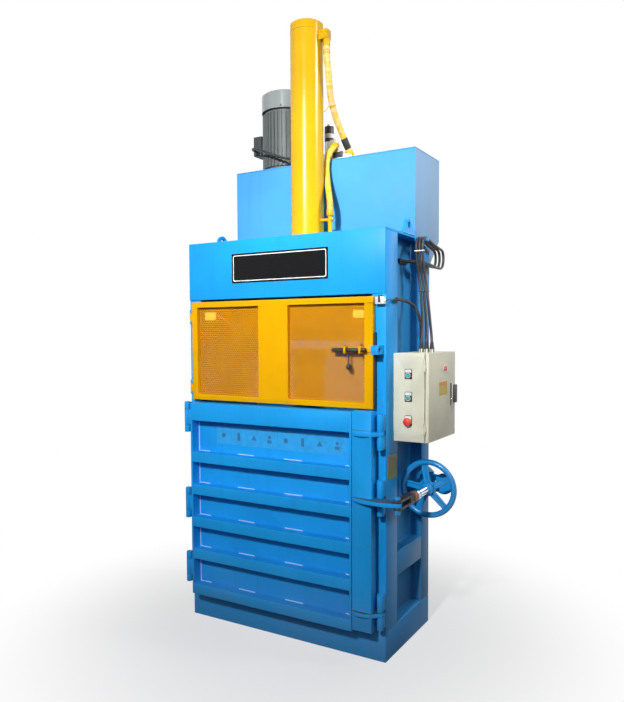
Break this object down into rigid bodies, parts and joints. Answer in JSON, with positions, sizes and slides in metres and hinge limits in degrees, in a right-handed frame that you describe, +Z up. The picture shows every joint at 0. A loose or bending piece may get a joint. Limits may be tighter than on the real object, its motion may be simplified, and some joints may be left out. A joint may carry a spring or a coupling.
{
  "type": "vertical recycling baler",
  "caption": "Upright hydraulic baler: chamber with screened feed door and ribbed bale door, screw clamp with handwheel, ram, oil tank with motor and side control box.",
  "frame": {"origin": "centre of the base on the floor", "axes": "+Z up, the doors face -Y, the control box is on +X"},
  "size_m": [1.4585, 0.9017, 3.27],
  "materials": {
    "blue_paint": "gloss sprayed enamel",
    "dark_steel": "oiled black oxide",
    "valve_aluminium": "machined",
    "yellow_paint": "gloss sprayed enamel",
    "bare_steel": "turned and ground",
    "grey_paint": "satin enamel",
    "hose_cover": "tape-wrapped hose",
    "beige_paint": "semi-gloss powder coat",
    "black_plastic": "moulded",
    "black_rubber": "matte",
    "collar_brown": "oiled bronze brown",
    "polished_steel": "plated",
    "red_plastic": "moulded",
    "green_plastic": "moulded"
  },
  "bodies": {
    "frame": {"base_frame": "blue_paint", "front_post_left": "blue_paint", "front_post_right": "blue_paint", "rear_post_left": "blue_paint", "rear_post_right": "blue_paint", "side_wall_left": "blue_paint", "side_wall_right": "blue_paint", "rear_wall": "blue_paint", "header_front_plate": "blue_paint", "header_top_plate": "blue_paint", "cylinder_crosshead": "blue_paint", "bale_door_hinge_pins": "dark_steel", "clamp_pins": "dark_steel", "feed_door_hinge_pins": "dark_steel", "spindle_bracket": "blue_paint", "door_switch": "valve_aluminium", "cylinder_barrel": "yellow_paint", "rod_gland": "bare_steel", "tank_shell": "blue_paint", "tank_lid": "blue_paint", "hydraulic_pump": "grey_paint", "motor_housing": "grey_paint", "motor_cowl": "grey_paint", "motor_terminal_box": "grey_paint", "valve_stack": "valve_aluminium", "upper_hose": "hose_cover", "lower_hose": "hose_cover", "hose_fittings": "dark_steel", "pressure_pipe": "yellow_paint", "control_box_shell": "beige_paint", "box_door_hinge_pins": "dark_steel", "button_housings": "black_plastic", "contactor_plate": "bare_steel", "cylinder_ports": "yellow_paint", "control_cables": "black_rubber", "motor_cable": "black_rubber", "switch_conduit": "black_rubber", "switch_cable": "black_rubber"},
    "bale_door": {"bale_door_ribs": "blue_paint", "bale_door_skin": "blue_paint"},
    "clamp": {"clamp_bar": "blue_paint", "lever_bolt": "dark_steel"},
    "lock_fork": {"lock_fork": "dark_steel", "thrust_collar": "collar_brown"},
    "handwheel": {"handwheel": "blue_paint", "lock_spindle": "polished_steel"},
    "feed_door": {"feed_door_frame": "yellow_paint", "feed_screen_left": "yellow_paint", "feed_screen_right": "yellow_paint"},
    "feed_bolt": {"slide_bolt": "dark_steel"},
    "ram": {"piston_rod": "bare_steel", "platen": "blue_paint"},
    "motor_rotor": {"motor_rotor": "bare_steel"},
    "box_door": {"control_box_door": "beige_paint", "box_door_seal": "black_rubber", "door_lamp": "red_plastic"},
    "box_handle": {"box_door_handle": "black_plastic"},
    "upper_button": {"upper_button": "green_plastic"},
    "lower_button": {"lower_button": "green_plastic"},
    "emergency_stop": {"emergency_stop": "red_plastic"}
  },
  "joints": [
    {"name": "bale_door_hinge", "type": "hinge", "parent": "frame", "child": "bale_door", "pos_m": [-0.592, -0.33, 0.69], "axis": [0, 0, -1], "range_deg": [0, 110]},
    {"name": "clamp_hinge", "type": "hinge", "parent": "frame", "child": "clamp", "pos_m": [0.592, -0.33, 0.7], "axis": [0, 0, 1], "range_deg": [0, 55]},
    {"name": "fork_pivot", "type": "hinge", "parent": "clamp", "child": "lock_fork", "pos_m": [0.7, -0.377, 0.808], "axis": [0, 0, 1], "range_deg": [-55, 0]},
    {"name": "handwheel_spin", "type": "hinge", "parent": "lock_fork", "child": "handwheel", "pos_m": [0.7, 0, 0.808], "axis": [0, 1, 0], "range_deg": [0, 3906.4]},
    {"name": "feed_door_hinge", "type": "hinge", "parent": "frame", "child": "feed_door", "pos_m": [-0.578, -0.305, 1.5], "axis": [0, 0, -1], "range_deg": [0, 110]},
    {"name": "feed_bolt_slide", "type": "slide", "parent": "feed_door", "child": "feed_bolt", "axis": [1, 0, 0], "range_m": [0, 0.052]},
    {"name": "ram_slide", "type": "slide", "parent": "frame", "child": "ram", "axis": [0, 0, -1], "range_m": [0, 1.08]},
    {"name": "motor_spin", "type": "hinge", "parent": "frame", "child": "motor_rotor", "pos_m": [-0.332, 0.31, 2.76], "axis": [0, 0, 1], "continuous": true},
    {"name": "box_door_hinge", "type": "hinge", "parent": "frame", "child": "box_door", "pos_m": [0.762, -0.201, 1.29], "axis": [0, 0, -1], "range_deg": [0, 110]},
    {"name": "box_handle_turn", "type": "hinge", "parent": "box_door", "child": "box_handle", "pos_m": [0.785, 0.145, 1.322], "axis": [-1, 0, 0], "range_deg": [0, 90]},
    {"name": "upper_button_press", "type": "slide", "parent": "frame", "child": "upper_button", "axis": [0, 1, 0], "range_m": [0, 0.004], "stiffness_N_per_m": 600},
    {"name": "lower_button_press", "type": "slide", "parent": "frame", "child": "lower_button", "axis": [0, 1, 0], "range_m": [0, 0.004], "stiffness_N_per_m": 600},
    {"name": "emergency_stop_press", "type": "slide", "parent": "frame", "child": "emergency_stop", "axis": [0, 1, 0], "range_m": [0, 0.004]}
  ],
  "couplings": [
    {"joint": "clamp_hinge", "follows": "handwheel_spin", "ratio": 0.014079},
    {"joint": "fork_pivot", "follows": "handwheel_spin", "ratio": -0.014079}
  ]
}
